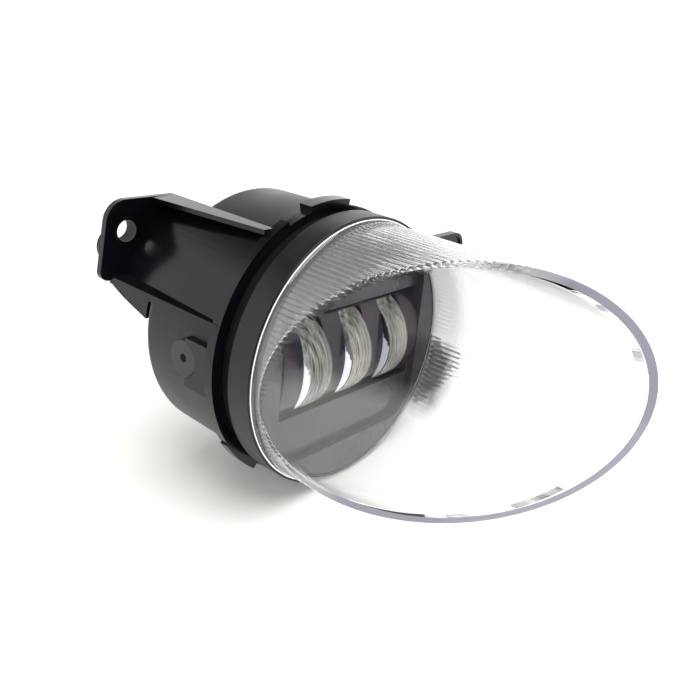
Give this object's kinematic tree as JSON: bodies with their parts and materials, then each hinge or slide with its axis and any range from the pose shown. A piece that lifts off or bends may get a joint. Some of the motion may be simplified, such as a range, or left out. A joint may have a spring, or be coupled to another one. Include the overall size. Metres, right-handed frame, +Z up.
{
  "type": "fog light",
  "caption": "Round vehicle fog light with an obliquely cut clear ribbed lens, dark inner trim, a row of projector optics, a drum housing and a moulded bracket.",
  "frame": {"origin": "centre of the bezel ring's front edge, on the lamp's axis", "axes": "+Y along the lamp's axis towards the rear, so the light leaves along -Y; +X to the right seen from the front, +Z up"},
  "size_m": [0.1319, 0.1609, 0.0964],
  "materials": {
    "lens_clear": "clear moulded polycarbonate, ribbed tube and smooth window",
    "ring_black": "satin black moulded plastic",
    "housing_black": "satin black moulded plastic",
    "bracket_black": "glossy black moulded plastic",
    "trim_gloss": "glossy dark grey moulded plastic",
    "carrier_dark": "glossy near-black moulded plastic",
    "projector_clear": "clear moulded optic",
    "reflector_bright": "vacuum metallised plastic",
    "emitter_phosphor": "yellow phosphor under clear silicone",
    "board_green": "solder mask over fibreglass board",
    "component_dark": "moulded component bodies",
    "pad_grey": "soft thermal pad",
    "sink_aluminium": "die-cast, unpainted",
    "screw_steel": "zinc plated steel",
    "seal_rubber": "black moulded rubber",
    "pin_black": "glossy black moulded plastic",
    "bush_natural": "natural acetal",
    "adjuster_white": "white moulded plastic",
    "connector_black": "black moulded plastic",
    "terminal_tin": "plated brass blades",
    "vent_black": "black moulded plastic cap"
  },
  "bodies": {
    "lamp": {"drum_housing": "housing_black", "outer_lens": "lens_clear", "lens_gasket": "seal_rubber", "bezel_ring": "ring_black", "inner_bezel": "trim_gloss", "mounting_bracket": "bracket_black", "bracket_sleeves": "screw_steel", "pivot_pins": "pin_black", "rear_cover": "housing_black", "rear_gasket": "seal_rubber", "cover_screws": "screw_steel", "driver_board": "board_green", "driver_components": "component_dark", "connector_socket": "connector_black", "connector_terminals": "terminal_tin", "breather_vent": "vent_black", "adjuster_seal": "seal_rubber"},
    "led_module": {"lens_carrier": "carrier_dark", "pivot_bushes": "bush_natural", "projector_lens_left": "projector_clear", "projector_lens_centre": "projector_clear", "projector_lens_right": "projector_clear", "reflector_bank": "reflector_bright", "led_emitters": "emitter_phosphor", "led_board": "board_green", "thermal_pad": "pad_grey", "heat_sink": "sink_aluminium", "board_screws": "screw_steel"},
    "adjuster": {"adjuster_screw": "adjuster_white", "adjuster_clip": "screw_steel"},
    "nut": {"adjuster_nut": "bush_natural"}
  },
  "joints": [
    {"name": "module_tilt", "type": "hinge", "parent": "lamp", "child": "led_module", "pos_m": [0, 0.0306, 0], "axis": [1, 0, 0], "range_deg": [-2.5, 2.5]},
    {"name": "nut_travel", "type": "slide", "parent": "lamp", "child": "nut", "axis": [0, 1, 0], "range_m": [-0.0014, 0.0014]},
    {"name": "adjuster_turn", "type": "hinge", "parent": "lamp", "child": "adjuster", "pos_m": [0, 0.0306, -0.03], "axis": [0, 1, 0], "range_deg": [-330, 330]}
  ],
  "couplings": [
    {"joint": "nut_travel", "follows": "module_tilt", "m_per_rad": 0.03},
    {"joint": "adjuster_turn", "follows": "module_tilt", "ratio": -125.66}
  ]
}
